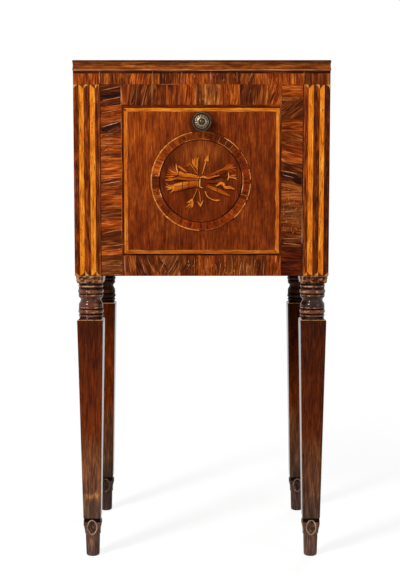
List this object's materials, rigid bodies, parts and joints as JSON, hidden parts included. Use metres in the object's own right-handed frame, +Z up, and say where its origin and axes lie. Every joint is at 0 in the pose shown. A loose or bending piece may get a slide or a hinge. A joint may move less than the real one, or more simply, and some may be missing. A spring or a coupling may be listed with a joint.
{
  "type": "nightstand",
  "caption": "Tall narrow bedside cabinet with a fall-front flap, turning knob latch, inlaid pilasters and tapered legs with turned collars.",
  "frame": {"origin": "on the floor, under the middle of the outer box, which takes in the knob at the front", "axes": "+Z up, front with the flap towards -Y, +X to the right as seen from the front"},
  "size_m": [0.4054, 0.3342, 0.8],
  "materials": {
    "veneer": "waxed red-brown veneer, fine straight grain",
    "crossband": "waxed crossbanded veneer, strongly streaked",
    "inlay": "waxed golden inlay",
    "leg": "worn dark polish",
    "core": "bare aged softwood",
    "brass": "aged",
    "bronze": "dark patina",
    "steel": "dull"
  },
  "bodies": {
    "case": {"top_board": "veneer", "top_lip_front": "crossband", "top_lip_left": "crossband", "top_lip_right": "crossband", "post_front_left": "veneer", "post_front_right": "veneer", "post_back_left": "veneer", "post_back_right": "veneer", "flute_left_outer": "inlay", "flute_left_inner": "inlay", "flute_right_outer": "inlay", "flute_right_inner": "inlay", "side_panel_left": "veneer", "side_panel_right": "veneer", "back_panel": "core", "frieze_rail": "crossband", "front_stile_left": "crossband", "front_stile_right": "crossband", "front_rail_upper": "crossband", "front_rail_lower": "crossband", "floor_board": "core", "floor_cleat_left": "core", "floor_cleat_right": "core", "glue_block_front_left": "core", "glue_block_front_right": "core", "glue_block_back_left": "core", "glue_block_back_right": "core", "stop_strip_left": "core", "stop_strip_right": "core", "pivot_plate_left": "brass", "pivot_plate_right": "brass", "latch_keeper": "brass", "leg_front_left": "leg", "leg_front_right": "leg", "leg_back_left": "leg", "leg_back_right": "leg"},
    "flap": {"flap_panel": "veneer", "stringing_top": "inlay", "stringing_bottom": "inlay", "stringing_left": "inlay", "stringing_right": "inlay", "medallion_ring": "crossband", "medallion_line": "inlay", "pivot_pin_left": "steel", "pivot_pin_right": "steel", "knob_rose": "bronze"},
    "latch": {"knob": "bronze", "knob_spindle": "steel", "latch_tongue": "brass", "tongue_nut": "brass"}
  },
  "joints": [
    {"name": "flap_fall", "type": "hinge", "parent": "case", "child": "flap", "pos_m": [0, -0.13795, 0.5135], "axis": [1, 0, 0], "range_deg": [0, 90]},
    {"name": "knob_turn", "type": "hinge", "parent": "flap", "child": "latch", "pos_m": [0, -0.14295, 0.704], "axis": [0, 1, 0], "range_deg": [0, 90]}
  ]
}
